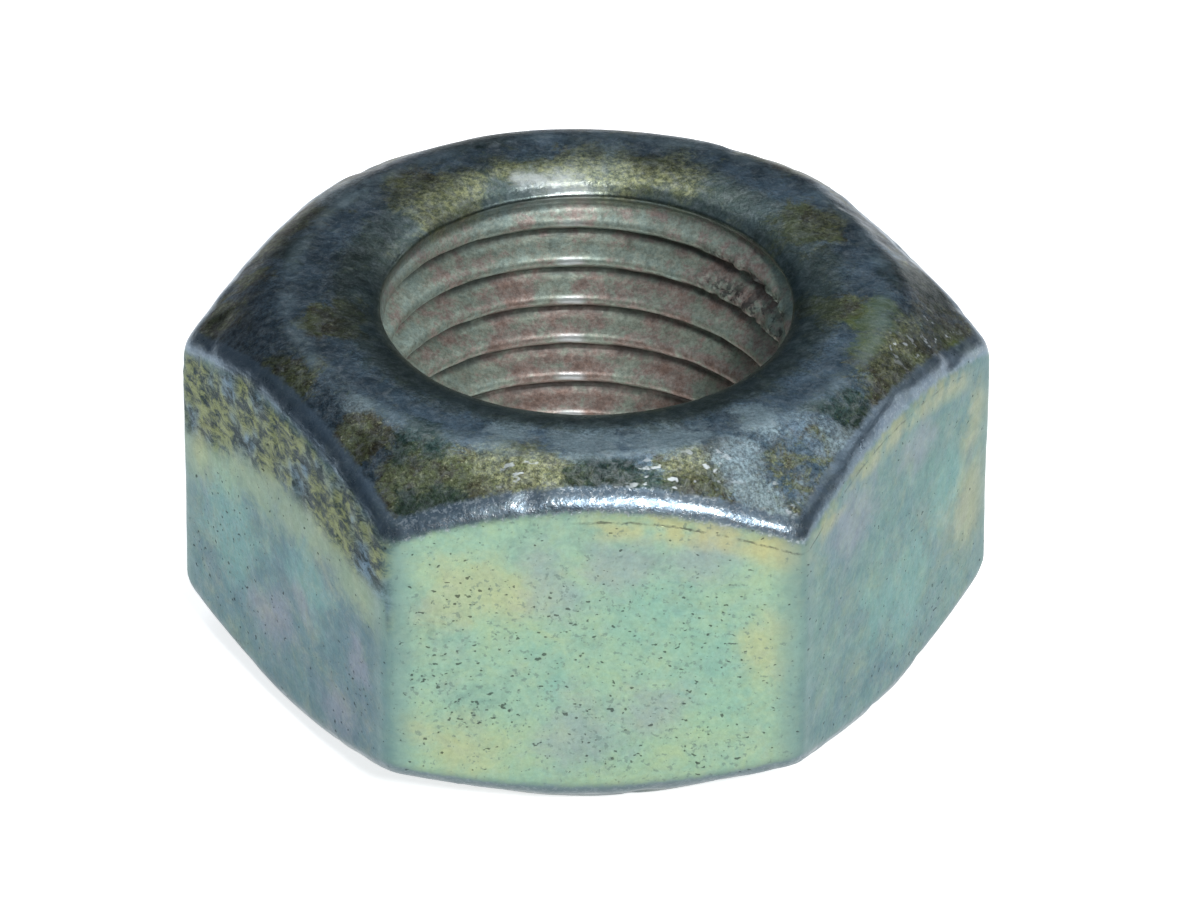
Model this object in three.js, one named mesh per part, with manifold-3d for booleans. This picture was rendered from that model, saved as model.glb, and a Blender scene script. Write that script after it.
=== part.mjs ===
// Plain hexagon nut, M12 x 1.25 fine thread, chamfered on both ends. Cold forged in one piece.
// Millimetres, +Z up along the thread axis. The origin is the centre of the lower bearing face,
// and two of the six corners lie on the X axis.
import * as THREE from "three";
import { mergeVertices } from "three/addons/utils/BufferGeometryUtils.js";
import Module from "manifold-3d";

// Driving dimensions.
const acrossFlats = 19; // wrench size
const nutHeight = 10.8; // bearing face to bearing face
const threadMajor = 12; // nominal thread diameter
const threadPitch = 1.25;
const flankAngle = 30; // degrees, each flank of the 60 degree thread form
const cornerRadius = 0.8; // rounding of the six upright edges
const bearingInset = 1.6; // from a wrench flat in to the edge of the flat bearing face
const chamferAngle = 36; // degrees from the bearing face
const chamferBlend = 1.2; // radius where the bearing face rolls into the chamfer
const mouthRounding = 3.1; // radius of the bell mouth at each end of the thread
const mouthWidth = 1.68; // how far the bell mouth reaches out from the thread crests
const leastBearingRing = 0.5; // flat left between a bell mouth and a chamfer in a thin wall

// Fineness of the facets.
const facetsPerTurn = 48;
const cornerFacets = 4;
const blendFacets = 3;
const mouthFacets = 6;

// Cutting tools reach this far past the faces that they cut.
const overrun = 1;
const tapOverlap = 0.15; // how far the thread tool starts inside the thread crests

// ISO metric thread form: crests cut off at 5/8 of the sharp V's height, roots an eighth wide.
const sharpHeight = threadPitch / (2 * Math.tan(THREE.MathUtils.degToRad(flankAngle)));
const majorRadius = threadMajor / 2;
const minorRadius = majorRadius - (5 / 8) * sharpHeight;
const rootWidth = threadPitch / 8;

const flatDistance = acrossFlats / 2;
const bearingRadius = flatDistance - bearingInset;
const outerRadius = flatDistance / Math.cos(Math.PI / 6) + overrun;

const nutSteel = new THREE.MeshStandardMaterial({ color: 0x8da79f, roughness: 0.38, metalness: 0.9 });

// Points from one angle to another round a circle, both ends included.
function arc(centreX, centreY, radius, fromAngle, toAngle, facets) {
  const points = [];
  for (let i = 0; i <= facets; i += 1) {
    const angle = fromAngle + ((toAngle - fromAngle) * i) / facets;
    points.push(
      new THREE.Vector2(centreX + radius * Math.cos(angle), centreY + radius * Math.sin(angle)),
    );
  }
  return points;
}

// Upper half of the turned profile as (radius, height): from the thread crests, round the bell
// mouth, over the flat bearing ring and down the chamfer to outside the corners.
function upperProfile() {
  const slope = THREE.MathUtils.degToRad(chamferAngle);
  const mouthReach = Math.min(mouthWidth, bearingRadius - minorRadius - leastBearingRing);
  const mouthTurn = Math.asin(mouthReach / mouthRounding);
  const mouthEdge = minorRadius + mouthReach;
  const upright = Math.PI / 2;
  const mouth = arc(
    mouthEdge,
    nutHeight - mouthRounding,
    mouthRounding,
    upright + mouthTurn,
    upright,
    mouthFacets,
  );
  const blend = arc(
    bearingRadius,
    nutHeight - chamferBlend,
    chamferBlend,
    upright,
    upright - slope,
    blendFacets,
  );
  const blendEnd = blend[blendFacets];
  const chamferFoot = blendEnd.y - (outerRadius - blendEnd.x) * Math.tan(slope);
  return [...mouth, ...blend, new THREE.Vector2(outerRadius, chamferFoot)];
}

// The ring that a lathe would leave: both bell mouths, both bearing faces and both chamfers.
function turnedRing() {
  const upper = upperProfile().reverse();
  const lower = upper.map((point) => new THREE.Vector2(point.x, nutHeight - point.y)).reverse();
  const closed = [...upper, ...lower, upper[0].clone()];
  const ring = new THREE.LatheGeometry(closed, facetsPerTurn);
  ring.rotateX(Math.PI / 2);
  return ring;
}

// The hexagon bar that the nut is cut from, with its upright edges rounded.
function hexagonBar() {
  const outline = new THREE.Shape();
  const cornerCentre = (flatDistance - cornerRadius) / Math.cos(Math.PI / 6);
  for (let corner = 0; corner < 6; corner += 1) {
    const angle = (corner * Math.PI) / 3;
    outline.absarc(
      cornerCentre * Math.cos(angle),
      cornerCentre * Math.sin(angle),
      cornerRadius,
      angle - Math.PI / 6,
      angle + Math.PI / 6,
      false,
    );
  }
  outline.closePath();
  const bar = new THREE.ExtrudeGeometry(outline, {
    depth: nutHeight + 2 * overrun,
    bevelEnabled: false,
    curveSegments: cornerFacets,
  });
  bar.translate(0, 0, -overrun);
  return bar;
}

// The tap: one right-hand helical ridge with the thread's section, longer than the nut.
function tapRidge() {
  const innerRadius = minorRadius - tapOverlap;
  const flankRun = (majorRadius - innerRadius) * Math.tan(THREE.MathUtils.degToRad(flankAngle));
  const halfRoot = rootWidth / 2;
  const section = [
    [innerRadius, -halfRoot - flankRun],
    [majorRadius, -halfRoot],
    [majorRadius, halfRoot],
    [innerRadius, halfRoot + flankRun],
  ];
  const startHeight = -overrun - threadPitch;
  const turns = (nutHeight + 2 * (overrun + threadPitch)) / threadPitch;
  const steps = Math.ceil(turns * facetsPerTurn);
  const sides = section.length;
  const positions = [];
  const faces = [];
  for (let step = 0; step <= steps; step += 1) {
    const turn = step / facetsPerTurn;
    const angle = turn * 2 * Math.PI;
    for (const [radius, rise] of section) {
      const height = startHeight + turn * threadPitch + rise;
      positions.push(radius * Math.cos(angle), radius * Math.sin(angle), height);
    }
  }
  for (let step = 0; step < steps; step += 1) {
    for (let side = 0; side < sides; side += 1) {
      const here = step * sides + side;
      const beside = step * sides + ((side + 1) % sides);
      faces.push(here, here + sides, beside);
      faces.push(beside, here + sides, beside + sides);
    }
  }
  const last = steps * sides;
  faces.push(0, 1, 2, 0, 2, 3);
  faces.push(last, last + 2, last + 1, last, last + 3, last + 2);
  const ridge = new THREE.BufferGeometry();
  ridge.setAttribute("position", new THREE.Float32BufferAttribute(positions, 3));
  ridge.setIndex(faces);
  return ridge;
}

const wasm = await Module();
wasm.setup();

// A closed geometry as a solid that can be joined and cut.
function solidFrom(geometry) {
  const bare = geometry.clone();
  bare.deleteAttribute("normal");
  bare.deleteAttribute("uv");
  const merged = mergeVertices(bare);
  return new wasm.Manifold(
    new wasm.Mesh({
      numProp: 3,
      vertProperties: new Float32Array(merged.attributes.position.array),
      triVerts: new Uint32Array(merged.index.array),
    }),
  );
}

// A solid back as a geometry with flat-shaded facets.
function geometryFrom(solid) {
  const mesh = solid.getMesh();
  const geometry = new THREE.BufferGeometry();
  geometry.setAttribute("position", new THREE.Float32BufferAttribute(mesh.vertProperties, 3));
  geometry.setIndex(new THREE.Uint32BufferAttribute(mesh.triVerts, 1));
  const facets = geometry.toNonIndexed();
  facets.computeVertexNormals();
  return facets;
}

// The nut: the hexagon bar turned to its profile, then tapped.
function hexNut() {
  const blank = solidFrom(hexagonBar()).intersect(solidFrom(turnedRing()));
  const tapped = blank.subtract(solidFrom(tapRidge()));
  const nut = new THREE.Mesh(geometryFrom(tapped), nutSteel);
  nut.name = "hex_nut";
  return nut;
}

const part = new THREE.Group();
part.add(hexNut());

export default part;
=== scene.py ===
import math

import bpy
import numpy as np
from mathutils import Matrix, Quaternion, Vector


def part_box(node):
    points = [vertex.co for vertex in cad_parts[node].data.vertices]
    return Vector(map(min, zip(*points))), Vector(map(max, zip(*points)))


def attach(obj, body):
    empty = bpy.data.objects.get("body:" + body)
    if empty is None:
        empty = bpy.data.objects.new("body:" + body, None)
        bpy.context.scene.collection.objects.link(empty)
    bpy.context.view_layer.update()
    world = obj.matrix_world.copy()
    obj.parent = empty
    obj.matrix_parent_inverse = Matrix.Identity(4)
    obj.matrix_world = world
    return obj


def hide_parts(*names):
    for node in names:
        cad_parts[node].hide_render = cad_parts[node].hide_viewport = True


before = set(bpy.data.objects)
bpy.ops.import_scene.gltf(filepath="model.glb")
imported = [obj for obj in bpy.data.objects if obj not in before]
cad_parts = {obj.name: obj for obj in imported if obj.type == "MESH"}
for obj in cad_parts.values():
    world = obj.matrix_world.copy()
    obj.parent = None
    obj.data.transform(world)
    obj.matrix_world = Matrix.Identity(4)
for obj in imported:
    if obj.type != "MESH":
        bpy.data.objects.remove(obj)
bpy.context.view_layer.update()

# Sizes are in millimetres until the mesh is made. +Z is up the thread axis, -Y out of the front flat.
MM = 0.001
low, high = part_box("hex_nut")
ACROSS_FLATS = (high.y - low.y) / MM
HEIGHT = (high.z - low.z) / MM
THREAD_MAJOR = 12.0
THREAD_PITCH = 1.25
THREAD_START = 0.38  # how far up its pitch the crest stands on the +X side, as a share of the pitch
CORNER_RADIUS = 0.55
BEARING_RADIUS = 7.9
CHAMFER_BLEND = 1.6  # radius between the bearing face and the chamfer
MOUTH_ROUNDING = 3.1
MOUTH_WIDTH = 1.68
EDGE_FILLET = 1.0  # radius of the soft edge between the chamfer and a wrench flat

# The blank sat a little off centre in the dies, so each end's chamfer has its own angle and middle.
TOP_CHAMFER = {"angle": math.radians(34.5), "middle": (-0.2, -0.1)}
BOTTOM_CHAMFER = {"angle": math.radians(29.5), "middle": (-0.2, 0.44)}

FLAT_DISTANCE = ACROSS_FLATS / 2
MAJOR_RADIUS = THREAD_MAJOR / 2
THREAD_DEPTH = (5 / 8) * THREAD_PITCH / (2 * math.tan(math.radians(30)))
MINOR_RADIUS = MAJOR_RADIUS - THREAD_DEPTH
MOUTH_RADIUS = MINOR_RADIUS + MOUTH_WIDTH
JOIN_RADIUS = MAJOR_RADIUS + 0.05  # where the mesh of a bell mouth meets the mesh of the thread
JOIN_TURN = math.asin((MOUTH_RADIUS - JOIN_RADIUS) / MOUTH_ROUNDING)
MOUTH_TURN = math.asin(MOUTH_WIDTH / MOUTH_ROUNDING)
MOUTH_DEPTH = MOUTH_ROUNDING * (1 - math.cos(MOUTH_TURN))
CREST_EASING = 0.05  # how softly the thread's crests are rounded
MOUTH_EASING = 0.35  # how much softer the bore is where it opens into a bell mouth

# How far the used surface departs from its nominal shape.
SWELL = 0.03
HAMMERING = 0.035
HAMMERED_DOWN = 0.01
DENT_DEPTH = 0.07
LOW_SIDE_DEPTH = 0.16
LOW_SIDE_ANGLE = 26  # degrees
NICK_DEPTH = 0.05
RIPPLE = 0.015
SCALE_RELIEF = 0.05
TEAR_DEPTH = 0.09
BURR_RELIEF = 0.02
RAGGED_DEPTH = 0.14
MOUTH_WEAR = 0.02

# The torn band on the left flat is widest at the flat's left end and narrows to the right.
BAND_WIDTH = 3.4
BAND_NARROWING = 0.08
BAND_LEFT_END = -5.4

# Mesh fineness.
CORNER_SPAN = math.radians(2.4)  # how far the closer columns reach to each side of a corner
CORNER_STEPS = 10
FLAT_STEPS = 64
MOUTH_ROWS = 6
RING_ROWS = 4
CHAMFER_ROWS = 12
EDGE_ROWS = 8
WALL_ROWS = 34
THREAD_ROWS = (0, 0.085, 0.13, 0.18, 0.30, 0.42, 0.5, 0.58, 0.70, 0.82, 0.87, 0.915)  # shares of a pitch

# The parts of the surface that the mesh's rows belong to, from the mouth outwards.
ZONES = ("mouth", "ring", "chamfer", "edge", "side", "thread")


# ---------------------------------------------------------------- noise for shapes


def lattice(ix, iy, iz, seed):
    """A repeatable random number from 0 to 1 for each whole-number lattice point."""
    mixed = ix * 374761393 + iy * 668265263 + iz * 2147483647 + seed * 1274126177
    mixed = (mixed ^ (mixed >> 13)) * 1274126177
    mixed = mixed ^ (mixed >> 16)
    return (mixed & 0xFFFFFF) / float(0xFFFFFF)


def value_noise(points, size, seed):
    """Smooth noise from -1 to 1 at each point, with lumps about this size across."""
    place = points / size + 1000.0
    cell = np.floor(place).astype(np.int64)
    share = place - cell
    share = share**3 * (share * (share * 6 - 15) + 10)
    total = np.zeros(len(points))
    for corner in range(8):
        step = np.array([corner & 1, corner >> 1 & 1, corner >> 2 & 1])
        weight = np.where(step, share, 1 - share).prod(1)
        total += weight * lattice(*(cell + step).T, seed)
    return total * 2 - 1


def layered_noise(points, size, seed, layers=3):
    """Value noise with finer and fainter layers added."""
    strengths = [0.5**layer for layer in range(layers)]
    total = sum(
        strength * value_noise(points, size / 2**layer, seed + 17 * layer)
        for layer, strength in enumerate(strengths)
    )
    return total / sum(strengths)


def smooth_step(x, start, end):
    """0 before start, 1 after end, smooth between. start may be the larger."""
    t = np.clip((x - start) / (end - start), 0, 1)
    return t * t * (3 - 2 * t)


def soft_max(a, b, softness):
    """The larger of two values, with the change from one to the other rounded off."""
    return 0.5 * (a + b + np.sqrt((a - b) ** 2 + softness**2))


# ---------------------------------------------------------------- the nut's shape


def column_angles():
    """The angles of the mesh's columns round the nut, closer together at the six rounded corners."""
    sector = math.radians(60)
    angles = []
    for corner in range(6):
        middle = corner * sector
        angles += list(middle + np.linspace(-CORNER_SPAN, CORNER_SPAN, CORNER_STEPS + 1)[:-1])
        angles += list(middle + np.linspace(CORNER_SPAN, sector - CORNER_SPAN, FLAT_STEPS + 1)[:-1])
    return np.array(angles)


def hexagon_radius(angles):
    """Distance from the axis to the hexagon's outline, whose corners are rounded."""
    half_turn = math.radians(30)
    off = (angles + half_turn) % (2 * half_turn) - half_turn
    centre = (FLAT_DISTANCE - CORNER_RADIUS) / math.cos(half_turn)
    flat = FLAT_DISTANCE / np.cos(half_turn - np.abs(off))
    arc_end = math.atan2(CORNER_RADIUS * math.sin(half_turn), centre + CORNER_RADIUS * math.cos(half_turn))
    arc = centre * np.cos(off) + np.sqrt(np.maximum(CORNER_RADIUS**2 - (centre * np.sin(off)) ** 2, 0))
    return np.where(np.abs(off) < arc_end, arc, flat)


def chamfer_drop(radius, angles, chamfer):
    """How far a chamfer lies below its bearing face, at this radius from the thread's axis."""
    slope = chamfer["angle"]
    away = np.cos(angles) * chamfer["middle"][0] + np.sin(angles) * chamfer["middle"][1]
    past = radius - BEARING_RADIUS - away * smooth_step(radius, BEARING_RADIUS, FLAT_DISTANCE)
    blend_reach = CHAMFER_BLEND * math.sin(slope)
    on_blend = np.clip(past, 0, blend_reach)
    blend = CHAMFER_BLEND - np.sqrt(CHAMFER_BLEND**2 - on_blend**2)
    return blend + np.maximum(past - blend_reach, 0) * math.tan(slope)


def end_rows(angles, outline, chamfer):
    """Rows from a bell mouth's outer part to the wrench flat: (zone, radius, drop below the end)."""
    level = np.zeros(len(angles))
    rows = []
    for turn in np.linspace(JOIN_TURN, 0, MOUTH_ROWS + 1):
        radius = MOUTH_RADIUS - MOUTH_ROUNDING * math.sin(turn)
        rows.append(("mouth", level + radius, level + MOUTH_ROUNDING * (1 - math.cos(turn))))
    for radius in np.linspace(MOUTH_RADIUS, BEARING_RADIUS, RING_ROWS + 1)[1:]:
        rows.append(("ring", level + radius, level))
    slope = chamfer["angle"]
    bend = math.pi / 2 - slope
    tangent = EDGE_FILLET * math.tan(bend / 2)
    edge_start = outline - tangent * math.cos(slope)
    for share in np.linspace(0, 1, CHAMFER_ROWS + 1)[1:]:
        radius = BEARING_RADIUS + (edge_start - BEARING_RADIUS) * share
        rows.append(("chamfer", radius, chamfer_drop(radius, angles, chamfer)))
    corner_drop = rows[-1][2] + tangent * math.sin(slope)
    for turn in np.linspace(slope, math.pi / 2, EDGE_ROWS + 1)[1:]:
        radius = outline - EDGE_FILLET * (1 - math.sin(turn))
        rows.append(("edge", radius, corner_drop + tangent - EDGE_FILLET * math.cos(turn)))
    return rows


def thread_radius(phase):
    """Radius of the threaded wall at a phase, counted in pitches from a crest, with eased edges."""
    crest, flank, easing = 0.07, 0.365, 0.10
    off = np.abs((phase + 0.5) % 1.0 - 0.5)
    rise = soft_max((off - crest) / flank, 0, easing)
    share = 1 - soft_max(1 - rise, 0, easing)
    return MINOR_RADIUS + THREAD_DEPTH * np.clip(share, 0, 1)


def bore_guide(length):
    """(radius, height) at a length along the line of crests, which bends out into both bell mouths."""
    above = np.maximum(length - (HEIGHT - MOUTH_DEPTH), 0)
    below = np.maximum(MOUTH_DEPTH - length, 0)
    turn = MOUTH_TURN - (above + below) / MOUTH_ROUNDING
    bent = above + below > 0
    radius = np.where(bent, MOUTH_RADIUS - MOUTH_ROUNDING * np.sin(turn), MINOR_RADIUS)
    drop = MOUTH_ROUNDING * (1 - np.cos(turn))
    height = np.where(above > 0, HEIGHT - drop, np.where(below > 0, drop, length))
    return radius, height


def outer_surface(angles):
    """Rows over the top, down the flats and under the bottom: zone numbers and a grid of points."""
    outline = hexagon_radius(angles)
    top = end_rows(angles, outline, TOP_CHAMFER)
    bottom = end_rows(angles, outline, BOTTOM_CHAMFER)
    rows = [(zone, radius, HEIGHT - drop) for zone, radius, drop in top]
    wall_top, wall_bottom = rows[-1][2], bottom[-1][2]
    for share in np.linspace(0, 1, WALL_ROWS + 1)[1:-1]:
        rows.append(("side", outline, wall_top + (wall_bottom - wall_top) * share))
    rows += reversed(bottom)
    along_x, along_y = np.cos(angles), np.sin(angles)
    grid = np.array([[radius * along_x, radius * along_y, height] for _, radius, height in rows])
    zones = [ZONES.index(zone) for zone, _, _ in rows]
    return zones, grid.transpose(0, 2, 1)


def bore_surface(angles):
    """Rows that climb with the thread and stop at the bell mouths: a grid of points and its depths."""
    reach = MOUTH_ROUNDING * (MOUTH_TURN - JOIN_TURN)
    first, last = MOUTH_DEPTH - reach, HEIGHT - MOUTH_DEPTH + reach
    start = math.floor(first / THREAD_PITCH) - 1
    turns = math.ceil((last - first) / THREAD_PITCH) + 2
    phases = np.array([start + turn + share for turn in range(turns) for share in THREAD_ROWS])
    climb = (angles - angles[0]) / (2 * math.pi) + THREAD_START
    length = np.clip((phases[:, None] + climb) * THREAD_PITCH, first, last)
    guide_radius, height = bore_guide(length)
    from_end = np.minimum(height, HEIGHT - height)
    fade = smooth_step(from_end, MOUTH_DEPTH - 0.1, MOUTH_DEPTH + 0.65)
    groove = (thread_radius(height / THREAD_PITCH - climb) - MINOR_RADIUS) * fade
    at_mouth = smooth_step(guide_radius, JOIN_RADIUS, MINOR_RADIUS + 0.2)
    at_mouth = at_mouth * smooth_step(from_end, MOUTH_DEPTH + 1.0, MOUTH_DEPTH + 0.2)
    easing = CREST_EASING + MOUTH_EASING * at_mouth
    cut_radius = soft_max(guide_radius, MINOR_RADIUS + groove, easing)
    radius = np.where((length > first) & (length < last), cut_radius, guide_radius)
    grid = np.stack([radius * np.cos(angles), radius * np.sin(angles), height], -1)
    return grid, (radius - MINOR_RADIUS) / THREAD_DEPTH


def grid_faces(first_vertex, rows, columns, rows_per_turn=0):
    """Quads over a grid that closes round the axis, one turn higher by rows_per_turn rows."""
    column = np.arange(columns)
    faces = []
    for row in range(rows - 1):
        here = first_vertex + row * columns + column
        beside = first_vertex + row * columns + (column + 1) % columns
        above, above_beside = here + columns, beside + columns
        beside[-1] = first_vertex + min(row + rows_per_turn, rows - 1) * columns
        above_beside[-1] = first_vertex + min(row + 1 + rows_per_turn, rows - 1) * columns
        faces.append(np.stack([here, above, above_beside, beside], 1))
    return np.concatenate(faces)


def joined(vertices, faces, *values):
    """Joins vertices that lie on each other, and drops the faces that this flattens."""
    closeness = 0.0005
    places = np.round(vertices / closeness).astype(np.int64)
    _, kept, number = np.unique(places, axis=0, return_index=True, return_inverse=True)
    polygons = []
    for face in number.reshape(-1)[faces].tolist():
        ring = [vertex for i, vertex in enumerate(face) if vertex != face[i - 1]]
        if len(set(ring)) == len(ring) >= 3:
            polygons.append(ring)
    return vertices[kept], polygons, [value[kept] for value in values]


# ---------------------------------------------------------------- where each point is on the nut


FACE_ANGLES = {"right": 330, "back_right": 30, "back": 90, "back_left": 150, "left": 210, "front": 270}
FACE_TURN = math.radians(60)


def face_numbers(angles):
    """The number of the wrench flat that each angle looks onto, counted from the one beside +X."""
    return np.floor(angles / FACE_TURN).astype(int) % 6


def on_face(places, name):
    """1 over the named wrench flat and the chamfer above it, with a soft change at its corners."""
    middle = math.radians(FACE_ANGLES[name])
    off = np.abs((places["angle"] - middle + math.pi) % (2 * math.pi) - math.pi)
    return 1 - smooth_step(off, math.radians(28), math.radians(32))


def edge_height(places, chamfer, end):
    """Height of the sharp edge that a chamfer and a wrench flat would make without the soft edge."""
    drop = chamfer_drop(places["outline"], places["angle"], chamfer)
    return HEIGHT - drop if end == "top" else drop


def locate(points, zone, depth):
    """Each point's place in the nut's own terms, in millimetres and radians."""
    angle = np.arctan2(points[:, 1], points[:, 0]) % (2 * math.pi)
    radius = np.hypot(points[:, 0], points[:, 1])
    middle = (face_numbers(angle) + 0.5) * FACE_TURN
    places = {"angle": angle, "radius": radius, "depth": depth, "points": points}
    places["outline"] = hexagon_radius(angle)
    places["across"] = radius * np.sin(angle - middle)
    inset = places["outline"] - radius
    places["below_top_edge"] = edge_height(places, TOP_CHAMFER, "top") - points[:, 2] - inset
    places["above_bottom_edge"] = points[:, 2] - edge_height(places, BOTTOM_CHAMFER, "bottom") - inset
    places["from_end"] = np.minimum(points[:, 2], HEIGHT - points[:, 2])
    places["outside"] = (zone <= ZONES.index("side")) & (zone >= ZONES.index("ring"))
    return places


def region_masks(places):
    """How much each point belongs to each region of the surface, from 0 to 1."""
    outside = places["outside"]
    edge_gap = np.minimum(places["below_top_edge"], places["above_bottom_edge"])
    corner_gap = FLAT_DISTANCE * math.tan(FACE_TURN / 2) - np.abs(places["across"])
    side = outside * smooth_step(edge_gap, -0.25, 0.35)
    ring = smooth_step(places["radius"], BEARING_RADIUS + 0.5, BEARING_RADIUS - 0.1) * outside
    thread = smooth_step(places["from_end"], 0.30, 1.15) * ~outside
    rim_gap = np.abs(places["radius"] - BEARING_RADIUS - 0.15)
    mouth = smooth_step(places["radius"], MOUTH_RADIUS + 0.5, MOUTH_RADIUS - 0.8)
    above_middle = places["points"][:, 2] > HEIGHT / 2
    return {
        "side": side,
        "ring": ring,
        "thread": thread,
        "mouth": (1 - thread) * mouth,
        "soft_edge": outside * (1 - smooth_step(np.abs(edge_gap + 0.3), 0.15, 0.85)),
        "corner": side * (1 - smooth_step(corner_gap, 0.25, 1.0)),
        "rim": outside * (1 - smooth_step(rim_gap, 0.05, 0.4)),
        "low_edge": outside * smooth_step(places["above_bottom_edge"], 0.55, 0.0),
        # Where the soft edge gets bare zinc: a little all round as rubbed wear, and most along the front
        # flat's top edge as a painted highlight.
        "highlight_edge": 0.15 + 0.85 * on_face(places, "front") * above_middle,
    }


def band_width(places):
    return BAND_WIDTH - BAND_NARROWING * (places["across"] - BAND_LEFT_END)


def rough_band(places):
    """The torn, scaly band below the top edge of the left flat, where the blank was sheared."""
    gap = places["below_top_edge"] + 0.35 * layered_noise(places["points"], 1.6, 5)
    width = band_width(places)
    band = smooth_step(gap, -0.1, 0.4) * smooth_step(gap, width, width - 0.9)
    return band * on_face(places, "left") * places["outside"]


def band_foot(places):
    """The pale yellow-green strip just below the torn band."""
    gap = places["below_top_edge"] + 0.5 * layered_noise(places["points"], 1.3, 6)
    width = band_width(places)
    strip = smooth_step(gap, width - 0.9, width - 0.2) * smooth_step(gap, width + 1.6, width - 0.1)
    return strip * on_face(places, "left") * places["outside"]


def dirty_thread(places):
    """Where pink-brown dirt lies thickest in the thread: low on the far side, and on its right."""
    angle = np.degrees(places["angle"])
    low = smooth_step(angle, 38, 66) * smooth_step(angle, 132, 104)
    low = low * smooth_step(places["points"][:, 2], 8.6, 6.4)
    right = 0.7 * smooth_step(angle, 20, 32) * smooth_step(angle, 66, 52)
    return np.maximum(low, right) * ~places["outside"]


def crest_glints(places):
    """Short bright lines on the crests in the middle of the far side."""
    angle = np.degrees(places["angle"])
    window = smooth_step(angle, 88, 91.5) * smooth_step(angle, 99, 94.5)
    in_bore = (places["points"][:, 2] < HEIGHT - 1.1) & ~places["outside"]
    return window * in_bore * (1 - smooth_step(places["depth"], 0.02, 0.16))


def torn_crests(places):
    """The ragged stretch of thread on the far right of the bore."""
    angle = np.degrees(places["angle"])
    window = smooth_step(angle, 2, 10) * smooth_step(angle, 60, 46)
    below = HEIGHT - places["points"][:, 2]
    return window * smooth_step(below, 1.2, 1.5) * smooth_step(below, 3.6, 3.2) * ~places["outside"]


# ---------------------------------------------------------------- an uneven, used surface


def unevenness(places, masks):
    """How far each point stands proud of the nominal shape: forging waves, dents, tears and nicks."""
    points = places["points"]
    metal = masks["side"]
    top = places["outside"] * (1 - metal)
    swell = SWELL * value_noise(points, 4.0, 11) * metal
    hammered = HAMMERING * layered_noise(points, 2.2, 23) - HAMMERED_DOWN
    hammered = hammered * top * (1 - 0.6 * masks["ring"])
    dents = smooth_step(layered_noise(points, 1.4, 31), 0.35, 0.75) * top * (1 - masks["ring"])
    around = np.abs(np.degrees(places["angle"]) - LOW_SIDE_ANGLE)
    low_side = smooth_step(around, 18, 4) * smooth_step(places["radius"], 7.9, 8.7) * top
    nicks = smooth_step(layered_noise(points, 0.9, 47), 0.25, 0.7) * masks["soft_edge"]
    edge = np.maximum(masks["soft_edge"], masks["corner"])
    ripple = RIPPLE * value_noise(points, 0.7, 53) * edge
    scaly = layered_noise(points * np.array([1.0, 1.0, 0.75]), 0.62, 61)
    torn_band = SCALE_RELIEF * scaly - TEAR_DEPTH * smooth_step(scaly, 0.0, 0.45)
    burrs = BURR_RELIEF * value_noise(points, 0.5, 71) * masks["thread"]
    crest = 1 - smooth_step(places["depth"], 0.1, 0.8)
    ragged = smooth_step(layered_noise(points, 0.34, 83), -0.2, 0.4) * torn_crests(places) * crest
    worn_mouth = MOUTH_WEAR * layered_noise(points, 1.5, 91) * masks["mouth"]
    raised = swell + hammered + ripple + torn_band * rough_band(places) + burrs + worn_mouth
    lowered = DENT_DEPTH * dents + LOW_SIDE_DEPTH * low_side + NICK_DEPTH * nicks + RAGGED_DEPTH * ragged
    return raised - lowered


# ---------------------------------------------------------------- colour of the passivation film


# The film's usual thickness on each flat, as a share of the way through FILM_COLOURS. It is partly the
# film's own colour and partly painted shade, which sets the left flat darkest.
FILM_AND_SHADE_ON_FACES = {
    "front": 0.58, "left": 0.17, "right": 0.32, "back": 0.48, "back_left": 0.34, "back_right": 0.60,
}

# Patches on the flats: the flat, the middle across and up it, and the reach, in millimetres.
WARM_PATCHES = (
    ("front", -3.5, 7.5, 1.5), ("front", -2.4, 7.3, 1.0), ("front", 4.8, 9.0, 1.2), ("front", 3.0, 9.2, 1.0),
    ("front", -3.6, 2.6, 1.4), ("front", 4.6, 5.6, 1.2), ("right", 4.4, 4.2, 1.6), ("right", 4.9, 7.0, 1.2),
    ("left", -4.4, 6.4, 1.2),
)
VIOLET_PATCHES = (
    ("front", -1.1, 7.6, 1.3), ("front", 0.8, 8.2, 1.2), ("front", 2.8, 8.3, 1.4), ("front", -0.4, 3.0, 1.8),
    ("front", 1.6, 3.4, 1.0), ("left", -0.8, 3.2, 1.2), ("left", 2.6, 2.2, 1.3), ("left", 0.6, 4.4, 0.8),
    ("right", -2.6, 8.2, 1.6), ("right", 1.0, 8.0, 1.0), ("left", 3.6, 4.4, 0.8),
)
CYAN_PATCHES = (
    ("front", 3.2, 4.6, 2.0), ("front", 1.4, 6.8, 1.4), ("front", -1.6, 5.4, 1.2), ("left", -2.8, 4.8, 2.3),
    ("left", 1.2, 5.4, 1.5), ("right", 0.0, 4.0, 2.4), ("right", 3.0, 5.6, 1.8),
)
PITTED_PATCHES = (
    ("front", -2.2, 4.6, 3.4), ("front", 0.6, 2.8, 2.4), ("front", -3.4, 7.2, 1.6), ("left", -2.6, 3.6, 2.8),
    ("front", 2.8, 5.4, 2.6), ("front", -0.4, 6.8, 2.2), ("front", 3.0, 2.2, 2.2), ("right", 1.5, 5.0, 1.6),
    ("left", 3.4, 3.4, 1.8), ("right", 2.0, 1.8, 1.8), ("right", -0.6, 2.4, 1.4),
)

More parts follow.
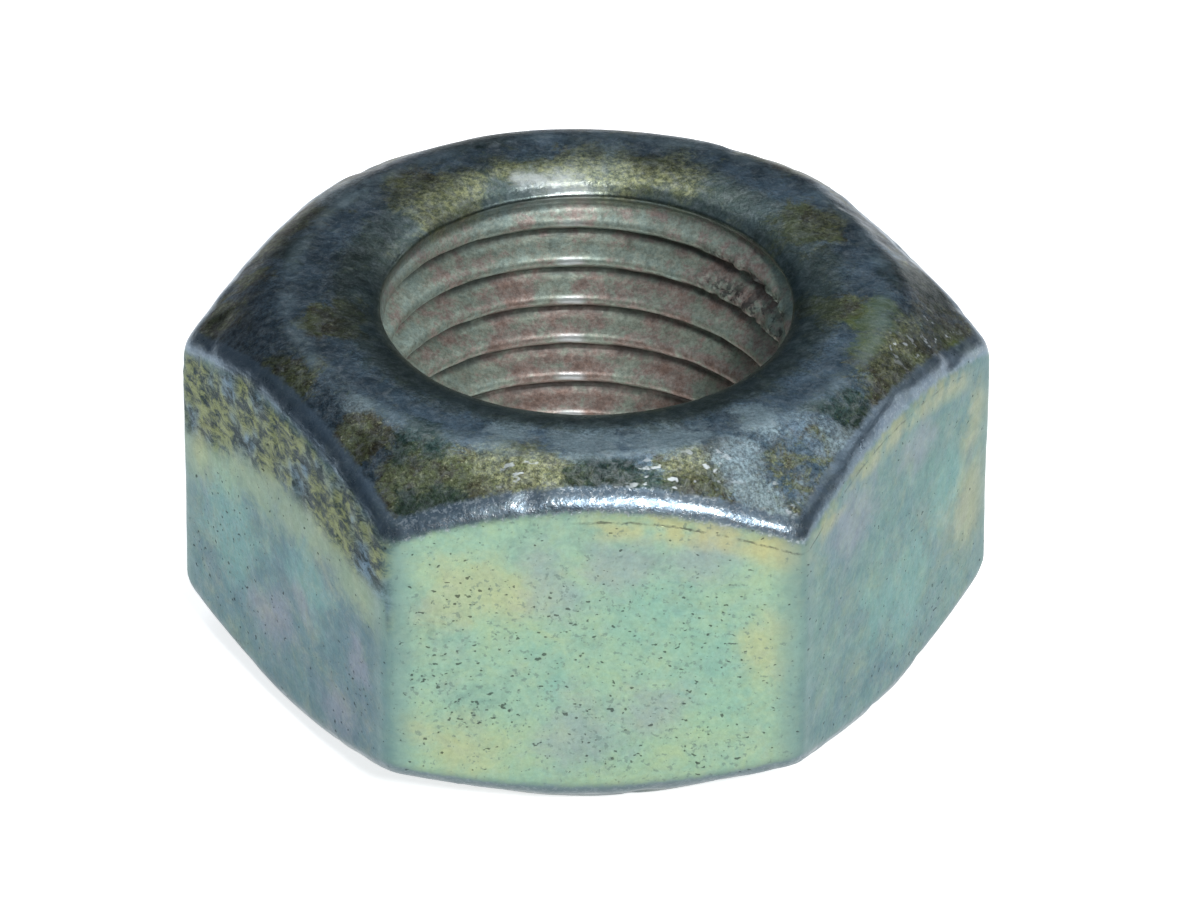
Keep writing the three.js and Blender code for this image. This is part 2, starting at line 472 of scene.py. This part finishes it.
# Patches on the top and bottom: the angle round the nut in degrees, the radius and the reach.
OLIVE_PATCHES = (
    (244, 9.8, 1.9), (257, 9.0, 1.6), (266, 8.9, 1.0), (286, 9.1, 1.6), (300, 10.2, 1.3), (334, 9.0, 1.8),
    (345, 9.2, 1.2), (357, 10.1, 1.2), (228, 9.4, 1.5), (206, 8.9, 1.2), (75, 6.6, 1.3), (100, 6.4, 1.2),
    (128, 6.6, 1.4), (30, 6.8, 1.4), (352, 6.7, 1.4), (192, 6.8, 1.3), (50, 9.2, 1.8), (85, 9.4, 1.5),
    (120, 10.0, 1.4), (150, 9.0, 1.9), (178, 9.8, 1.3),
)
PALE_PATCHES = (
    (294, 9.2, 1.5), (299, 9.8, 0.9), (314, 9.6, 1.1), (270, 7.3, 1.4), (285, 7.5, 1.2), (252, 7.5, 1.1),
    (305, 7.7, 1.2), (88, 6.4, 1.6), (70, 8.4, 1.0), (140, 8.2, 1.0), (222, 8.3, 0.8),
)
GREEN_PATCHES = (
    (271, 9.0, 1.3), (278, 9.3, 1.0), (320, 8.6, 1.0), (8, 9.0, 1.5), (238, 8.6, 1.0), (246, 10.4, 1.0),
    (110, 9.0, 1.5), (165, 8.6, 1.2),
)
STRAW_PATCHES = (
    (251, 8.6, 1.1), (260, 8.7, 1.0), (285, 8.6, 0.9), (343, 8.5, 1.0), (352, 8.7, 0.7), (336, 8.9, 0.7),
    (92, 6.5, 1.2), (80, 6.6, 1.3), (68, 6.7, 1.2), (106, 6.6, 1.0), (120, 6.5, 1.0), (132, 6.5, 1.1),
    (28, 7.6, 0.8), (356, 10.0, 0.6), (160, 9.3, 0.9),
)
# Painted shade: patches where the ends are darkened, broadest over their left and far parts.
SHADE_PATCHES = (
    (200, 8.8, 3.2), (184, 8.6, 3.2), (166, 8.4, 3.0), (150, 8.4, 2.8), (216, 8.6, 2.0), (132, 8.3, 2.8),
    (112, 8.4, 2.4), (92, 8.6, 2.2), (72, 8.4, 2.4), (52, 8.4, 2.0), (26, 8.4, 2.0), (8, 9.0, 1.8),
    (232, 9.7, 1.4), (318, 9.4, 1.2), (328, 9.4, 1.5), (337, 9.5, 1.2), (352, 9.6, 1.4), (0, 9.2, 1.5),
    (272, 9.3, 1.6), (284, 9.6, 1.3), (262, 9.8, 1.0), (292, 8.3, 0.8),
)
GLINT_PATCHES = (
    (281, 8.8, 1.2), (288, 9.0, 1.3), (256, 8.8, 1.0), (344, 8.8, 1.2), (354, 9.5, 1.0), (302, 9.9, 0.9),
)
LIME_PATCHES = ((348, 7.8, 0.9), (341, 8.1, 0.8), (353, 8.0, 0.6), (356, 10.0, 0.5))
# Painted highlight: bare bright metal on the far lip of the top bell mouth, where the light glints.
LIP_HIGHLIGHT_PATCHES = ((95, 5.75, 0.8), (90, 5.75, 0.7), (101, 5.8, 0.5))

# The flats at the back have the same kinds of patches, this many of each kind on each flat.
BACK_FACES = ("back_right", "back", "back_left")
BACK_PATCHES = 7
BACK_SEED = 401
PATCH_FADE = 1.3  # where a patch has faded out, in shares of its reach

FLAT_PATCHES = {
    "warm": WARM_PATCHES, "violet": VIOLET_PATCHES, "cyan": CYAN_PATCHES, "pitted": PITTED_PATCHES,
}
END_PATCHES = {
    "pale": PALE_PATCHES, "green": GREEN_PATCHES, "straw": STRAW_PATCHES, "painted_shade": SHADE_PATCHES,
    "glint": GLINT_PATCHES, "lip_highlight": LIP_HIGHLIGHT_PATCHES, "lime": LIME_PATCHES,
}


def back_patches(seed):
    """Patches spread at random over the flats at the back."""
    random = np.random.default_rng(seed)
    return tuple(
        (name, random.uniform(-5, 5), random.uniform(0.8, 9.2), random.uniform(0.6, 1.7))
        for name in BACK_FACES
        for _ in range(BACK_PATCHES)
    )


def warp(points, seed):
    """Two wandering distances that pull the round patches into uneven shapes."""
    return layered_noise(points, 1.7, seed), layered_noise(points, 1.7, seed + 7)


def patch_mask(places, patches):
    """1 at the middle of each patch on the wrench flats, falling to 0 a little past its reach."""
    aside, along = warp(places["points"], 131)
    mask = np.zeros(len(places["angle"]))
    for name, across, up, reach in patches:
        away = np.hypot(places["across"] - across + aside, places["points"][:, 2] - up + along)
        mask = np.maximum(mask, on_face(places, name) * smooth_step(away, PATCH_FADE * reach, 0))
    return mask


def end_patch_mask(places, patches):
    """The same for patches on the two ends of the nut."""
    aside, along = warp(places["points"], 151)
    mask = np.zeros(len(places["angle"]))
    for degrees, radius, reach in patches:
        turn = math.radians(degrees)
        x, y = radius * math.cos(turn), radius * math.sin(turn)
        away = np.hypot(places["points"][:, 0] - x + aside, places["points"][:, 1] - y + along)
        mask = np.maximum(mask, smooth_step(away, PATCH_FADE * reach, 0))
    return mask


def chamfer_stain(places):
    """The olive stain that covers much of the chamfers, but little of the one above the left flat."""
    chamfer = smooth_step(places["radius"], BEARING_RADIUS + 0.3, BEARING_RADIUS + 1.2) * places["outside"]
    return 0.45 * chamfer * (1 - 0.8 * on_face(places, "left"))


def film_and_shade_share(places):
    """The film's thickness on the same scale, without its patches and noise, with each flat's painted shade
    in it.
    """
    shares = {name: on_face(places, name) for name in FILM_AND_SHADE_ON_FACES}
    return sum(FILM_AND_SHADE_ON_FACES[name] * share for name, share in shares.items()) / sum(shares.values())


# ---------------------------------------------------------------- making the mesh


def add_value(mesh, name, values):
    attribute = mesh.attributes.new(name, "FLOAT", "POINT")
    attribute.data.foreach_set("value", values.astype(np.float32))


def outward_normals(mesh):
    normals = np.zeros(len(mesh.vertices) * 3, np.float32)
    mesh.vertex_normals.foreach_get("vector", normals)
    return normals.reshape(-1, 3)


def fold_line(places):
    """The fine fold that forging left at the top of two flats: distance from it, and where it shows."""
    wander = 0.10 * value_noise(places["points"], 1.8, 111)
    distance = places["below_top_edge"] - 0.55 + wander
    front = smooth_step(places["across"], -1.0, 0.4) * on_face(places, "front")
    right = smooth_step(places["across"], 4.8, 3.0) * on_face(places, "right")
    return distance, np.clip(front + 0.7 * right, 0, 1) * places["outside"]


def surface_values(places, masks):
    """Everything that the material reads from the mesh, by name."""
    values = dict(masks)
    values["depth"] = places["depth"]
    values["film_and_shade"] = film_and_shade_share(places)
    values["band"] = rough_band(places)
    values["band_foot"] = band_foot(places)
    values["dirty"] = dirty_thread(places)
    values["crest_glint"] = crest_glints(places)
    values["torn"] = torn_crests(places) * (1 - smooth_step(places["depth"], 0.3, 0.9))
    values["fold"], values["fold_shows"] = fold_line(places)
    for number, (name, patches) in enumerate(FLAT_PATCHES.items()):
        values[name] = patch_mask(places, patches + back_patches(BACK_SEED + number))
    for name, patches in END_PATCHES.items():
        values[name] = end_patch_mask(places, patches)
    values["olive"] = np.maximum(end_patch_mask(places, OLIVE_PATCHES), chamfer_stain(places))
    return values


def make_nut():
    """The nut as one closed mesh, which carries its surface values."""
    angles = column_angles()
    rows, grid = outer_surface(angles)
    bore, bore_depth = bore_surface(angles)
    outer_points, bore_points = grid.reshape(-1, 3), bore.reshape(-1, 3)
    faces = [
        grid_faces(0, len(rows), len(angles)),
        grid_faces(len(outer_points), len(bore), len(angles), len(THREAD_ROWS)),
    ]
    in_thread = np.full(len(bore_points), ZONES.index("thread"))
    zone = np.concatenate([np.repeat(rows, len(angles)), in_thread])
    depth = np.concatenate([np.zeros(len(outer_points)), bore_depth.reshape(-1)])
    points = np.concatenate([outer_points, bore_points])
    points, polygons, (zone, depth) = joined(points, np.concatenate(faces), zone, depth)

    mesh = bpy.data.meshes.new("hex_nut_plated")
    mesh.from_pydata(points.tolist(), [], polygons)
    mesh.polygons.foreach_set("use_smooth", [True] * len(mesh.polygons))
    mesh.update()
    places = locate(points, zone, depth)
    masks = region_masks(places)
    moved = points + outward_normals(mesh) * unevenness(places, masks)[:, None]
    moved[:, 2] = np.clip(moved[:, 2], 0, HEIGHT)
    moved[:, 1] = np.clip(moved[:, 1], -FLAT_DISTANCE, FLAT_DISTANCE)
    mesh.vertices.foreach_set("co", (moved * MM).reshape(-1).astype(np.float32))
    mesh.update()
    for name, values in surface_values(places, masks).items():
        add_value(mesh, name, values)
    nut = bpy.data.objects.new("hex_nut_plated", mesh)
    bpy.context.scene.collection.objects.link(nut)
    return nut


# ---------------------------------------------------------------- material


class Nodes:
    """Builds a material's nodes in few words. A value may be a number, a colour or another output."""

    def __init__(self, name):
        self.material = bpy.data.materials.new(name)
        self.material.use_nodes = True
        self.tree = self.material.node_tree
        self.shader = self.tree.nodes["Principled BSDF"]
        place = self.tree.nodes.new("ShaderNodeTexCoord").outputs["Object"]
        self.place = self.scaled(place, 1 / MM)

    def put(self, socket, value):
        if isinstance(value, bpy.types.NodeSocket):
            self.tree.links.new(value, socket)
        else:
            socket.default_value = value

    def make(self, kind, settings, inputs, output=0):
        node = self.tree.nodes.new(kind)
        for name, value in settings.items():
            setattr(node, name, value)
        for name, value in inputs.items():
            self.put(node.inputs[name], value)
        return node.outputs[output]

    def math(self, operation, a, b=0.0, clamp=False):
        return self.make("ShaderNodeMath", {"operation": operation, "use_clamp": clamp}, {0: a, 1: b})

    def add(self, a, b):
        return self.math("ADD", a, b)

    def times(self, a, b):
        return self.math("MULTIPLY", a, b)

    def vector(self, operation, a, b):
        return self.make("ShaderNodeVectorMath", {"operation": operation}, {0: a, 1: b})

    def scaled(self, vector, amount):
        """A vector or colour times a number."""
        return self.make("ShaderNodeVectorMath", {"operation": "SCALE"}, {0: vector, "Scale": amount})

    def value(self, name):
        return self.make("ShaderNodeAttribute", {"attribute_name": name}, {}, "Fac")

    def moved(self, seed, stretch=(1, 1, 1)):
        """The place in millimetres, stretched, and moved to another part of the noise."""
        shifted = self.vector("ADD", self.place, (seed * 17.3, seed * 31.7, seed * 5.9))
        return self.vector("DIVIDE", shifted, stretch)

    def noise(self, size, seed, detail=2.0, stretch=(1, 1, 1), twist=0.0, rough=0.5):
        """Noise about 0.5, with lumps about this many millimetres across."""
        inputs = {"Vector": self.moved(seed, stretch), "Scale": 1 / size, "Detail": detail}
        inputs.update({"Distortion": twist, "Roughness": rough})
        return self.make("ShaderNodeTexNoise", {}, inputs, "Fac")

    def step(self, value, start, end, low=0.0, high=1.0):
        """low before start, high after end, smooth between."""
        inputs = {"Value": value, "From Min": start, "From Max": end, "To Min": low, "To Max": high}
        return self.make("ShaderNodeMapRange", {"interpolation_type": "SMOOTHSTEP"}, inputs)

    def mix(self, share, a, b):
        inputs = {"Factor": share, 6: a, 7: b}
        return self.make("ShaderNodeMix", {"data_type": "RGBA"}, inputs, 2)

    def ramp(self, value, stops):
        node = self.tree.nodes.new("ShaderNodeValToRGB")
        self.put(node.inputs["Fac"], value)
        elements = node.color_ramp.elements
        while len(elements) < len(stops):
            elements.new(0.5)
        for element, (position, colour) in zip(elements, stops):
            element.position = position
            element.color = colour
        return node.outputs["Color"]


def rgb(red, green, blue):
    """A linear colour from the usual 0 to 255 scale."""
    return (*(((part / 255 + 0.055) / 1.055) ** 2.4 for part in (red, green, blue)), 1.0)


FILM_COLOURS = (
    (0.00, rgb(72, 96, 110)),
    (0.25, rgb(78, 111, 117)),
    (0.40, rgb(95, 128, 122)),
    (0.55, rgb(136, 166, 146)),
    (0.70, rgb(154, 176, 140)),
    (0.85, rgb(166, 170, 124)),
    (1.00, rgb(174, 156, 112)),
)
VIOLET_FILM = rgb(138, 134, 150)
CYAN_FILM = rgb(112, 160, 150)
WARM_FILM = rgb(178, 170, 120)
CORNER_FILM = rgb(108, 132, 130)
STEEL_BLUE = rgb(108, 130, 146)
DARK_STEEL = rgb(70, 88, 100)
EDGE_GREY = rgb(112, 128, 142)
LOW_EDGE_GREY = rgb(84, 102, 104)
OLIVE = rgb(118, 124, 84)
OLIVE_GLINT = rgb(204, 204, 164)
STRAW = rgb(170, 172, 126)
STRAW_SHADE = rgb(94, 100, 78)
LIME = rgb(126, 142, 76)
BROWN = rgb(86, 80, 58)
GREEN_STAIN = rgb(46, 68, 58)
PALE_BLUE = rgb(156, 176, 182)
MOUTH_OLIVE = rgb(84, 94, 74)
BARE_ZINC = rgb(214, 220, 222)
# Dark dirt, also used as painted shade in the thread's roots.
DIRT_AND_SHADE = rgb(52, 54, 54)
FAINT_SPECK = rgb(92, 108, 104)
BAND_FOOT = rgb(150, 164, 120)
BAND_OLIVE = rgb(134, 140, 94)
BAND_DARK = rgb(44, 54, 56)
THREAD_COLOURS = (
    (0.00, rgb(150, 168, 160)),
    (0.40, rgb(156, 164, 150)),
    (0.60, rgb(160, 150, 142)),
    (0.80, rgb(156, 138, 130)),
    (1.00, rgb(144, 122, 112)),
)

# How strongly each patch, stain, wear mark or painted highlight covers the colour under it.
STRENGTH = {
    "cyan": 0.38, "warm": 0.42, "violet": 0.38, "under_edge": 0.6, "band_foot": 0.42, "corner": 0.6,
    "olive": 0.92, "stain_glints": 0.55, "green": 0.85, "pale": 0.8, "mouth": 0.6, "straw": 0.75,
    "glints": 0.85, "lime": 0.5, "rim": 0.32, "lip_highlight": 0.5, "torn": 0.8, "crest_glint": 0.9,
    "edge": 0.8, "low_edge": 0.8, "band": 0.85, "faint_specks": 0.5, "specks": 0.55, "fold": 0.65,
    "rubbed_and_highlight": 0.6,
}
FILM_DRIFT = 0.34
FILM_MOTTLE = 0.28
UNSHADED_TOP, SHADED_TOP = 0.92, 0.46  # how bright the top is outside and inside its patches of painted shade
MOUTH_CALM = 0.6  # how much weaker the speckle is on the bearing faces and in the mouths
EXTRA_DIRT = 0.30

# Roughness, and what each mark adds to it.
SMOOTH, ROUGH = 0.36, 0.50
ROUGHER = {
    "specks": 0.30, "band": 0.12, "thread": 0.06, "mouth": -0.10, "crest_glint": -0.15, "edge": -0.10,
    "rubbed_and_highlight": -0.10,
}
THREAD_METALLIC = 0.5  # the dirt on the thread dulls it

# Heights of the finest relief, in millimetres.
GRAIN_HEIGHT = 0.010
WAVE_HEIGHT = 0.020
SPECK_DEPTH = 0.008
FOLD_DEPTH = 0.02
SCALE_HEIGHT = 0.10


def broken(n, name, size, seed, softness=0.4):
    """A patch attribute with its outline broken up by noise."""
    ragged = n.times(n.add(n.noise(size, seed, 4.0, twist=0.6, rough=0.8), -0.5), 1.9)
    return n.step(n.add(n.value(name), ragged), 0.45 - softness, 0.45 + softness)


def cover(n, colour, name, mask, paint):
    """Lays a paint over a colour where the mask is, as strongly as the table says."""
    return n.mix(n.times(mask, STRENGTH[name]), colour, paint)


def colour_side(n):
    """The wrench flats: a film of slowly changing colour with blurred patches, duller at the corners, darker
    on some flats by painted shade.
    """
    drift = n.times(n.add(n.noise(3.0, 1, 3.0, twist=0.6), -0.5), FILM_DRIFT)
    mottle = n.times(n.add(n.noise(0.6, 2, 5.0, twist=1.2, rough=0.7), -0.5), FILM_MOTTLE)
    film_and_shade = n.math("ADD", n.add(n.value("film_and_shade"), drift), mottle, clamp=True)
    colour = n.ramp(film_and_shade, FILM_COLOURS)
    colour = cover(n, colour, "cyan", broken(n, "cyan", 1.7, 21), CYAN_FILM)
    colour = cover(n, colour, "warm", broken(n, "warm", 1.4, 22, 0.6), WARM_FILM)
    colour = cover(n, colour, "violet", broken(n, "violet", 1.2, 23, 0.6), VIOLET_FILM)
    under_edge = n.step(n.math("ABSOLUTE", n.value("fold")), 0.75, 0.15)
    under_edge = n.times(under_edge, n.value("fold_shows"))
    under_edge = n.times(under_edge, n.step(n.noise(0.9, 32, 4.0), 0.35, 0.6))
    colour = cover(n, colour, "under_edge", under_edge, WARM_FILM)
    colour = cover(n, colour, "band_foot", broken(n, "band_foot", 1.1, 33, 0.6), BAND_FOOT)
    grain = n.step(n.noise(0.16, 3, 3.0, rough=0.8), 0.25, 0.75, 0.89, 1.08)
    return cover(n, n.scaled(colour, grain), "corner", n.value("corner"), CORNER_FILM)


def colour_top(n):
    """The chamfers, bearing faces and bell mouths: steel blue, stained and worn, with patches of painted
    shade and a painted highlight on the far lip.
    """
    clouds = n.step(n.noise(1.3, 4, 5.0, twist=0.6, rough=0.65), 0.3, 0.7)
    colour = n.mix(clouds, DARK_STEEL, STEEL_BLUE)
    stain = n.mix(n.step(n.noise(0.7, 5, 4.0, rough=0.75), 0.42, 0.58), BROWN, OLIVE)
    stain_glints = n.step(n.noise(0.13, 31, 3.0, rough=0.7), 0.56, 0.68)
    stain = cover(n, stain, "stain_glints", stain_glints, OLIVE_GLINT)
    straw = n.mix(n.step(n.noise(0.16, 34, 4.0, rough=0.8), 0.40, 0.62), STRAW_SHADE, STRAW)
    colour = cover(n, colour, "olive", broken(n, "olive", 0.6, 24, 0.2), stain)
    colour = cover(n, colour, "green", broken(n, "green", 0.6, 25, 0.25), GREEN_STAIN)
    colour = cover(n, colour, "pale", broken(n, "pale", 0.5, 26, 0.3), PALE_BLUE)
    colour = cover(n, colour, "mouth", broken(n, "mouth", 0.9, 28), MOUTH_OLIVE)
    colour = cover(n, colour, "straw", broken(n, "straw", 0.7, 35, 0.45), straw)
    # Painted shade: the top is darkened inside its shade patches.
    colour = n.scaled(colour, n.step(broken(n, "painted_shade", 1.5, 36, 0.5), 0.0, 1.0, UNSHADED_TOP, SHADED_TOP))
    speckle = n.step(n.noise(0.11, 6, 4.0, rough=0.85), 0.34, 0.68, 0.45, 1.55)
    calm = n.times(n.math("MAXIMUM", n.value("ring"), n.value("mouth")), MOUTH_CALM)
    speckle = n.add(n.times(speckle, n.math("SUBTRACT", 1.0, calm)), calm)
    colour = n.scaled(colour, speckle)
    glints = n.step(n.noise(0.22, 37, 2.0, stretch=(1.6, 1, 1)), 0.60, 0.68)
    colour = cover(n, colour, "glints", n.times(glints, n.value("glint")), BARE_ZINC)
    colour = cover(n, colour, "lime", broken(n, "lime", 0.35, 43, 0.35), LIME)
    rim = n.times(n.value("rim"), n.step(n.noise(0.9, 41, 4.0, rough=0.7), 0.32, 0.62))
    colour = cover(n, colour, "rim", rim, PALE_BLUE)
    # A painted highlight of bare zinc on the far lip.
    return cover(n, colour, "lip_highlight", broken(n, "lip_highlight", 0.3, 38, 0.7), BARE_ZINC)


def colour_thread(n):
    """The thread: grey-green flanks with pink-brown dirt, roots darkened by dirt and painted shade, and
    painted glints on a few crests.
    """
    stain = n.step(n.noise(1.1, 8, 6.0, rough=0.8), 0.34, 0.76)
    stain = n.math("ADD", stain, n.times(broken(n, "dirty", 0.7, 39), EXTRA_DIRT), clamp=True)
    colour = n.ramp(stain, THREAD_COLOURS)
    grain = n.step(n.noise(0.11, 9, 3.0, rough=0.8), 0.3, 0.7, 0.74, 1.2)
    coarse_grain = n.step(n.noise(0.32, 40, 4.0, rough=0.8), 0.35, 0.65, 0.82, 1.14)
    colour = n.scaled(n.scaled(colour, grain), coarse_grain)
    # The roots darkened, partly by dirt and partly by painted shade in the hollows.
    root = n.step(n.value("depth"), 0.74, 1.0)
    root = n.times(root, n.step(n.noise(1.6, 42, 3.0, rough=0.7), 0.3, 0.6, 0.35, 0.80))
    colour = n.mix(root, colour, DIRT_AND_SHADE)
    torn = n.times(n.value("torn"), n.step(n.noise(0.35, 44, 3.0, rough=0.7), 0.46, 0.58))
    colour = cover(n, colour, "torn", torn, DIRT_AND_SHADE)
    return cover(n, colour, "crest_glint", n.value("crest_glint"), BARE_ZINC)


def ragged_share(n, mask, size, seed, detail, rough, spread, start, end):
    """A mask whose border wanders with noise."""
    wander = n.times(n.add(n.noise(size, seed, detail, rough=rough), -0.5), spread)
    return n.step(n.add(mask, wander), start, end)


def plated_steel():
    n = Nodes("zinc_plated_steel")
    band, thread = n.value("band"), n.value("thread")
    on_side = ragged_share(n, n.value("side"), 0.5, 10, 3.0, 0.5, 0.9, 0.3, 0.7)
    on_edge = ragged_share(n, n.value("soft_edge"), 0.3, 11, 5.0, 0.75, 1.2, 0.25, 0.8)
    colour = n.mix(on_side, colour_top(n), colour_side(n))
    colour = n.mix(thread, colour, colour_thread(n))
    colour = cover(n, colour, "edge", on_edge, EDGE_GREY)
    colour = cover(n, colour, "low_edge", n.value("low_edge"), LOW_EDGE_GREY)

    scales = n.noise(0.5, 12, 5.0, stretch=(1, 1, 0.6), twist=0.4, rough=0.75)
    patchy = n.step(n.noise(1.3, 13, 3.0), 0.48, 0.70)
    scale_top = n.mix(patchy, BAND_OLIVE, STEEL_BLUE)
    band_colour = n.mix(n.step(scales, 0.40, 0.60), BAND_DARK, scale_top)
    colour = cover(n, colour, "band", band, band_colour)

    crowd = n.add(n.times(broken(n, "pitted", 1.2, 27), 0.045), 0.03)
    faint_specks = n.step(n.add(n.noise(0.15, 29, 2.0, rough=0.6), crowd), 0.66, 0.74)
    colour = cover(n, colour, "faint_specks", n.times(faint_specks, on_side), FAINT_SPECK)
    specks = n.step(n.add(n.noise(0.17, 14, 1.5, stretch=(1, 1, 0.8)), crowd), 0.74, 0.78)
    specks = n.times(specks, on_side)
    colour = cover(n, colour, "specks", specks, DIRT_AND_SHADE)

    fold_distance = n.add(n.value("fold"), n.times(n.noise(0.4, 30, 3.0), 0.10))
    fold = n.step(n.math("ABSOLUTE", fold_distance), 0.055, 0.01)
    fold_breaks = n.step(n.noise(0.7, 15, 4.0, rough=0.7), 0.44, 0.60)
    fold = n.times(n.times(fold, n.value("fold_shows")), fold_breaks)
    colour = cover(n, colour, "fold", fold, DIRT_AND_SHADE)

    # Rubbed bare zinc on the soft edges, laid thickest along the front flat's top edge as a painted
    # highlight.
    sparkle = n.step(n.noise(0.13, 16, 2.0, rough=0.8), 0.50, 0.64)
    rubbed_and_highlight = n.times(n.times(sparkle, on_edge), n.value("highlight_edge"))
    colour = cover(n, colour, "rubbed_and_highlight", rubbed_and_highlight, BARE_ZINC)
    n.put(n.shader.inputs["Base Color"], colour)

    marks = {"specks": specks, "band": band, "thread": thread, "mouth": n.value("mouth")}
    marks.update({"crest_glint": n.value("crest_glint"), "edge": on_edge, "rubbed_and_highlight": rubbed_and_highlight})
    rough = n.step(n.noise(0.5, 17, 4.0, rough=0.7), 0.25, 0.75, SMOOTH, ROUGH)
    for name, mark in marks.items():
        rough = n.add(rough, n.times(mark, ROUGHER[name]))
    n.put(n.shader.inputs["Roughness"], n.math("ADD", rough, 0.0, clamp=True))
    n.put(n.shader.inputs["Metallic"], n.step(thread, 0.0, 1.0, 1.0, THREAD_METALLIC))

    height = n.times(n.noise(0.11, 18, 3.0, rough=0.7), GRAIN_HEIGHT)
    height = n.add(height, n.times(n.noise(0.6, 19, 3.0), WAVE_HEIGHT))
    height = n.add(height, n.times(specks, -SPECK_DEPTH))
    height = n.add(height, n.times(fold, -FOLD_DEPTH))
    height = n.add(height, n.times(n.times(scales, band), SCALE_HEIGHT))
    bump = n.make("ShaderNodeBump", {}, {"Strength": 1.0, "Distance": MM, "Height": height})
    n.put(n.shader.inputs["Normal"], bump)
    return n.material


nut = make_nut()
nut.data.materials.append(plated_steel())
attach(nut, "root")
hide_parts("hex_nut")


# ---------------------------------------------------------------- studio


NUT_MIDDLE = Vector((0, 0, HEIGHT * MM / 2))

FLOOR_REACH = 1.5
FLOOR_GREY = 0.85
FLOOR_ROUGHNESS = 0.9
FLOOR_GLOW = 0.75  # so that the floor comes out nearly white, with only a faint shadow

# Each light's azimuth and elevation in degrees, distance and size in metres, and power in watts.
LIGHTS = {
    "flash": (14, 37, 0.5, 0.06, 1.3),
    "overhead": (71, 82, 0.6, 0.09, 0.5),
    "ceiling": (180, 66, 0.6, 0.40, 0.45),
    "back_right": (118, 40, 0.6, 0.30, 0.3),
    "low_right": (109, 7, 0.6, 0.14, 0.18),
    "front_right": (52, 36, 0.5, 0.10, 0.12),
}

# The room's colours, and where the walls begin to grow paler, from 0 at the horizon to 1 overhead.
ROOM_WALL_TOP = 0.3
ROOM_WALLS = (0.05, 0.075, 0.10, 1)
ROOM_CEILING = (0.42, 0.48, 0.54, 1)

# The photograph's view. Angles are in degrees, the distance in metres, and the camera aims this many
# millimetres to the right of and above the nut's middle.
CAMERA_TURN = -1.56
CAMERA_RISE = 33.2
CAMERA_ROLL = 0.3
CAMERA_DISTANCE = 0.266
CAMERA_LENS = 294.4
SENSOR_WIDTH = 36.0
AIM_RIGHT = 0.37
AIM_UP = 0.21


def pale_floor():
    corners = [(x * FLOOR_REACH, y * FLOOR_REACH, 0) for x, y in ((-1, -1), (1, -1), (1, 1), (-1, 1))]
    mesh = bpy.data.meshes.new("floor")
    mesh.from_pydata(corners, [], [(0, 1, 2, 3)])
    floor = bpy.data.objects.new("floor", mesh)
    bpy.context.scene.collection.objects.link(floor)
    material = bpy.data.materials.new("pale_floor")
    material.use_nodes = True
    shader = material.node_tree.nodes["Principled BSDF"]
    shader.inputs["Base Color"].default_value = (FLOOR_GREY, FLOOR_GREY, FLOOR_GREY, 1)
    shader.inputs["Roughness"].default_value = FLOOR_ROUGHNESS
    shader.inputs["Emission Color"].default_value = (1, 1, 1, 1)
    shader.inputs["Emission Strength"].default_value = FLOOR_GLOW
    material.cycles.emission_sampling = "NONE"
    mesh.materials.append(material)


def toward(azimuth, elevation):
    """A unit vector. Azimuth 0 is in front of the front flat, and grows toward +X."""
    turn, rise = math.radians(azimuth), math.radians(elevation)
    return Vector((math.sin(turn) * math.cos(rise), -math.cos(turn) * math.cos(rise), math.sin(rise)))


def soft_light(name, azimuth, elevation, distance, size, power):
    light = bpy.data.lights.new(name, "AREA")
    light.shape = "DISK"
    light.size = size
    light.energy = power
    lamp = bpy.data.objects.new(name, light)
    away = toward(azimuth, elevation)
    lamp.location = NUT_MIDDLE + away * distance
    lamp.rotation_euler = away.to_track_quat("Z", "Y").to_euler()
    bpy.context.scene.collection.objects.link(lamp)


def photograph_camera():
    back = toward(CAMERA_TURN, CAMERA_RISE)
    right = Vector((0, 0, 1)).cross(back).normalized()
    target = NUT_MIDDLE + (right * AIM_RIGHT + back.cross(right) * AIM_UP) * MM
    camera = bpy.data.objects.new("camera", bpy.data.cameras.new("camera"))
    camera.data.lens = CAMERA_LENS
    camera.data.sensor_width = SENSOR_WIDTH
    camera.data.clip_start = 0.01
    camera.location = target + back * CAMERA_DISTANCE
    camera.rotation_mode = "QUATERNION"
    roll = Quaternion((0, 0, 1), math.radians(CAMERA_ROLL))
    camera.rotation_quaternion = back.to_track_quat("Z", "Y") @ roll
    bpy.context.scene.collection.objects.link(camera)
    bpy.context.scene.camera = camera


def dim_room():
    """A room that is dark blue at the walls and paler overhead."""
    world = bpy.data.worlds.new("studio")
    world.use_nodes = True
    nodes, links = world.node_tree.nodes, world.node_tree.links
    direction = nodes.new("ShaderNodeSeparateXYZ")
    links.new(nodes.new("ShaderNodeTexCoord").outputs["Generated"], direction.inputs[0])
    shade = nodes.new("ShaderNodeValToRGB")
    shade.color_ramp.elements[0].position = ROOM_WALL_TOP
    shade.color_ramp.elements[0].color = ROOM_WALLS
    shade.color_ramp.elements[1].position = 1.0
    shade.color_ramp.elements[1].color = ROOM_CEILING
    links.new(direction.outputs["Z"], shade.inputs["Fac"])
    links.new(shade.outputs["Color"], nodes["Background"].inputs["Color"])
    bpy.context.scene.world = world


pale_floor()
photograph_camera()
dim_room()
for light_name, light_values in LIGHTS.items():
    soft_light(light_name, *light_values)
bpy.context.scene.view_settings.view_transform = "Standard"
